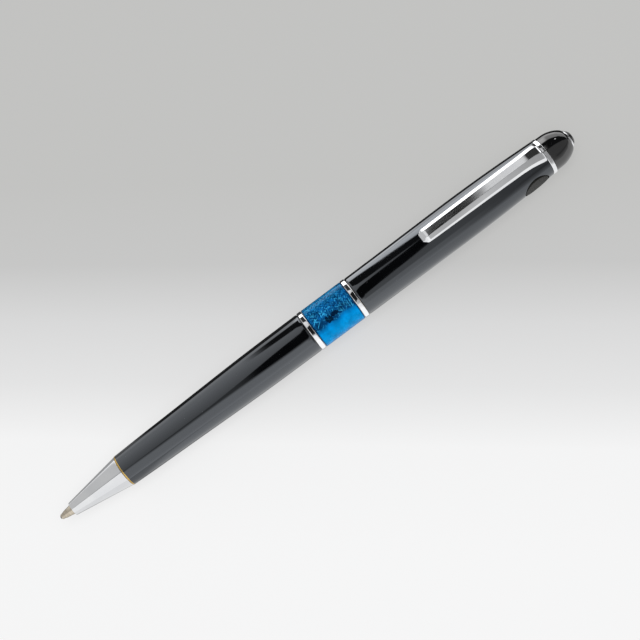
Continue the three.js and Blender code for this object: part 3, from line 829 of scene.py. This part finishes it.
bpy.ops.object.select_all(action="DESELECT")
bpy.ops.mesh.primitive_cylinder_add(vertices=96, radius=1, depth=MM, location=at(release_station, -3.9),
                                    rotation=(math.pi / 2, 0, 0))
release = bpy.context.object
release.name = "release_oval"
release.scale = (release_length / 2 * MM, release_width / 2 * MM, 1)
bpy.ops.object.transform_apply(location=True, rotation=True, scale=True)
bpy.ops.object.mode_set(mode="EDIT")
bpy.ops.mesh.select_mode(type="FACE")
bpy.ops.mesh.select_all(action="DESELECT")
release_mesh = bmesh.from_edit_mesh(release.data)
for face in release_mesh.faces:
    face.select_set(face.normal.y < -0.9)
bmesh.update_edit_mesh(release.data)
rim_run = 0.0
rim_steps = (0.03, 0.05, 0.07, 0.09)
crown_picked(release, rim_run)
for rim_step in rim_steps:
    bpy.ops.mesh.inset(thickness=rim_step * MM)
    rim_run += rim_step
    crown_picked(release, rim_run)
release_centre = at(release_station, -4.5)
crown_shares = (0.85, 0.8, 0.75, 0.65, 0.5, 0.4)
for share in crown_shares:
    bpy.ops.mesh.extrude_region_move()
    bpy.ops.transform.resize(value=(share, 1, share), center_override=release_centre)
    crown_picked(release)
bpy.ops.mesh.poke()
bpy.ops.object.mode_set(mode="OBJECT")
finish_mesh(release, smooth=50)
release_plastic = build_moulded("release_plastic", (0.004, 0.004, 0.0033), (0.008, 0.0078, 0.0062), 0.23)
settle(release, "latch", "black_plastic", release_plastic, "release_button")


# Clip. A chromed channel folded from sheet, with a flat top and sloping sides. It flares at its root to
# wrap the barrel, and is held there under the clip ring. A rib under its free end rests on the barrel.
clip_sections = [
    # station, top (half width, height), crease, lower edge, roof height inside
    (99.6, (0.5, 5.3), (0.9, 5.2), (1.0, 5.0), 5.04),
    (100.0, (0.62, 5.58), (1.28, 5.3), (1.41, 4.98), 5.09),
    (100.45, (0.74, 5.88), (1.56, 5.42), (1.72, 4.94), 5.12),
    (100.75, (0.8, 6.04), (1.62, 5.45), (1.8, 4.9), 5.3),
    (101.3, (0.8, 6.05), (1.63, 5.46), (1.81, 4.89), 5.3),
    (103.1, (0.8, 6.08), (1.65, 5.48), (1.84, 4.87), 5.0),
    (106, (0.8, 6.13), (1.67, 5.5), (1.87, 4.86), 5.3),
    (110, (0.8, 6.2), (1.7, 5.53), (1.9, 4.86), 5.3),
    (116, (0.8, 6.3), (1.73, 5.57), (1.95, 4.8), 5.3),
    (122, (0.8, 6.4), (1.76, 5.57), (1.98, 4.65), 5.3),
    (126, (0.8, 6.44), (1.79, 5.5), (2.02, 4.5), 5.25),
    (128.2, (0.83, 6.45), (1.88, 5.41), (2.12, 4.3), 5.15),
    (129.8, (0.88, 6.41), (2.02, 5.22), (2.3, 4.05), 5.0),
    (130.9, (0.95, 6.14), (2.15, 4.99), (2.45, 3.85), 4.8),
    (131.5, (1.0, 5.75), (2.2, 4.75), (2.5, 3.78), 4.6),
    (131.82, (1.0, 5.3), (2.12, 4.58), (2.46, 3.76), 4.52),
]


def section_points(section):
    """The outline of the clip across the pen at one section, from its roof inside on one side, over the
    top, to its roof inside on the other."""
    station, top, crease, edge, roof = section
    edge_width, edge_rise, wall = 0.3, 0.12, 0.75
    half = [top, crease, edge, (edge[0] - edge_width, edge[1] + edge_rise), (edge[0] - wall, roof)]
    right = [at(station, -y, z) for y, z in half]
    left = [at(station, y, z) for y, z in half]
    return left[::-1] + right


bpy.ops.object.select_all(action="DESELECT")
first_points = section_points(clip_sections[0])
bpy.ops.mesh.primitive_circle_add(vertices=len(first_points), radius=MM, fill_type="NGON",
                                  location=(0, 0, 0), rotation=(0, math.pi / 2, 0))
clip = bpy.context.object
clip.name = "pocket_clip"
bpy.ops.object.transform_apply(location=True, rotation=True, scale=True)
bpy.ops.object.mode_set(mode="EDIT")
bpy.ops.mesh.select_mode(type="VERT")
bpy.ops.mesh.select_all(action="SELECT")
clip_mesh = bmesh.from_edit_mesh(clip.data)
for corner, spot in zip(clip_mesh.verts, first_points):
    corner.co = spot
for section in clip_sections[1:]:
    bpy.ops.mesh.extrude_region_move(TRANSFORM_OT_translate={"value": (MM, 0, 0)})
    clip_mesh = bmesh.from_edit_mesh(clip.data)
    moved = [corner for corner in clip_mesh.verts if corner.select]
    for corner, spot in zip(moved, section_points(section)):
        corner.co = spot
bmesh.update_edit_mesh(clip.data)
bpy.ops.mesh.select_all(action="SELECT")
bpy.ops.mesh.normals_make_consistent(inside=False)
bpy.ops.object.mode_set(mode="OBJECT")
finish_mesh(clip, edge=0.12, smooth=30)
settle(clip, "clip_arm", "chrome", chrome, "clip")


# Clip ring. A ring turned from brass and chromed. It sits on the housing's neck between the rear barrel and
# the dome cap, and the clip's root is clamped under it.
clip_ring = turned("ring_under_clip", [
    (131.9, 4.27), (132.02, 4.37), (132.78, 4.37), (132.88, 4.27), (132.88, 3.3), (131.9, 3.3),
], edge=0.05)
settle(clip_ring, "rear_half", "chrome", chrome, "clip_ring")


# Dome cap. It is moulded in black resin and polished. It is screwed onto the neck of the mechanism's
# housing and holds the clip ring in its place.
dome_line = flowing([
    (132.92, 4.21), (133.7, 4.21), (134.3, 4.2), (134.9, 4.165), (135.5, 4.085), (136.1, 3.94), (136.8, 3.7),
    (137.4, 3.44), (138.3, 2.87), (138.75, 2.4),
], spacing=0.25)
dome = turned("dome", dome_line + [
    (138.75, 2.25), (137.9, 2.25), (137.9, 1.87), (136.15, 1.87), (136.15, 3.25), (132.92, 3.25),
], edge=0.06)
resin_ior = 1.9
dome_resin = build_gloss("dome_resin", lacquer_dark, lacquer_pale, resin_ior)
settle(dome, "rear_half", "black_lacquer", dome_resin, "dome_cap")


# Bezel and push button. A thin chromed ring pressed into the dome's end, and the small button moulded in
# the dome's black resin, which is pushed to bring the refill out.
bezel = turned("bezel_ring", [
    (137.93, 2.21), (138.85, 2.21), (139.07, 2.1), (139.16, 1.98), (139.12, 1.82), (137.93, 1.82),
], edge=0.03)
settle(bezel, "rear_half", "chrome", chrome, "button_bezel")

button_line = flowing([(139.1, 1.75), (139.55, 1.6), (139.85, 1.15), (139.97, 0.6), (140.0, 0)], spacing=0.12)
button = turned("push_button_cap", [(131.0, 0), (131.0, 1.65), (131.1, 1.75)] + button_line, edge=0)
settle(button, "push_action", "black_plastic", dome_resin, "push_button")


# Inside. A brass coupler is glued under the band, and its front end is threaded into the front barrel. The
# push mechanism sits in a moulded housing: a steel rod with a groove and a snap ring, the latch plate that
# bites into the groove, and the leaf that presses the plate outwards. The refill's tube has a plastic plug.
coupler_low, coupler_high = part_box("center_coupler")
coupler_start = (coupler_low.x - tip_x) / MM
coupler_end = (coupler_high.x - tip_x) / MM
collar_start, seat_start, seat_end = 68.7, 69.32, 79.93
thread_pitch, thread_radius, thread_root = 0.75, 3.53, 3.18
coupler = turned("threaded_coupler", [
    (coupler_start, thread_root - 0.25),
    (coupler_start + 0.4, thread_root),
    (collar_start, thread_root),
    (collar_start, thread_radius),
    (seat_start, thread_radius),
    (seat_start, 4.0),
    (seat_end, 4.0),
    (seat_end, 3.75),
    (coupler_end - 0.4, 3.75),
    (coupler_end, 3.45),
    (coupler_end, 2.6),
    (coupler_start, 2.6),
], edge=0.05)
bpy.ops.object.select_all(action="DESELECT")
thread_start, thread_end = coupler_start + 0.7, 68.4
bpy.ops.mesh.primitive_circle_add(vertices=3, radius=MM, location=at(thread_start))
thread = bpy.context.object
ridge_half, ridge_foot = 0.33, thread_root - 0.02
ridge = [(-ridge_half, ridge_foot), (ridge_half, ridge_foot), (0.0, thread_radius)]
for corner, (along, radius) in zip(thread.data.vertices, ridge):
    corner.co = (along * MM, 0, radius * MM)
turns = math.floor((thread_end - thread_start) / thread_pitch)
winding = thread.modifiers.new("winding", "SCREW")
winding.axis = "X"
winding.angle = 2 * math.pi
winding.iterations = turns
winding.screw_offset = thread_pitch * MM
winding.steps = 48
winding.render_steps = 48
bpy.ops.object.modifier_apply(modifier="winding")
bpy.ops.object.transform_apply(location=True, rotation=True, scale=True)
bpy.ops.object.mode_set(mode="EDIT")
bpy.ops.mesh.select_all(action="SELECT")
bpy.ops.mesh.fill_holes(sides=4)
bpy.ops.mesh.select_all(action="SELECT")
bpy.ops.mesh.normals_make_consistent(inside=False)
bpy.ops.object.mode_set(mode="OBJECT")
bpy.ops.object.select_all(action="DESELECT")
thread.select_set(True)
coupler.select_set(True)
bpy.context.view_layer.objects.active = coupler
bpy.ops.object.join()
settle(coupler, "rear_half", "brass", brass, "center_coupler")

steel = build_turned_metal("bright_steel", (8000.0, 250.0), (0.42, 0.42, 0.43), (0.56, 0.56, 0.58), 0.18, 0.3)
housing_plastic = build_moulded("housing_plastic", (0.02, 0.02, 0.023), (0.035, 0.035, 0.04))
plug_plastic = build_moulded("plug_plastic", (0.66, 0.66, 0.62), (0.76, 0.76, 0.72))
inner_finish = {
    "mechanism_housing": housing_plastic,
    "push_rod": steel,
    "rod_stop_clip": steel,
    "latch_plate": steel,
    "latch_spring": steel,
    "return_spring": steel,
    "refill_tube": nickel,
    "refill_plug": plug_plastic,
}
for name, finish in inner_finish.items():
    inner_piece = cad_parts[name]
    inner_piece.data.materials.clear()
    inner_piece.data.materials.append(finish)
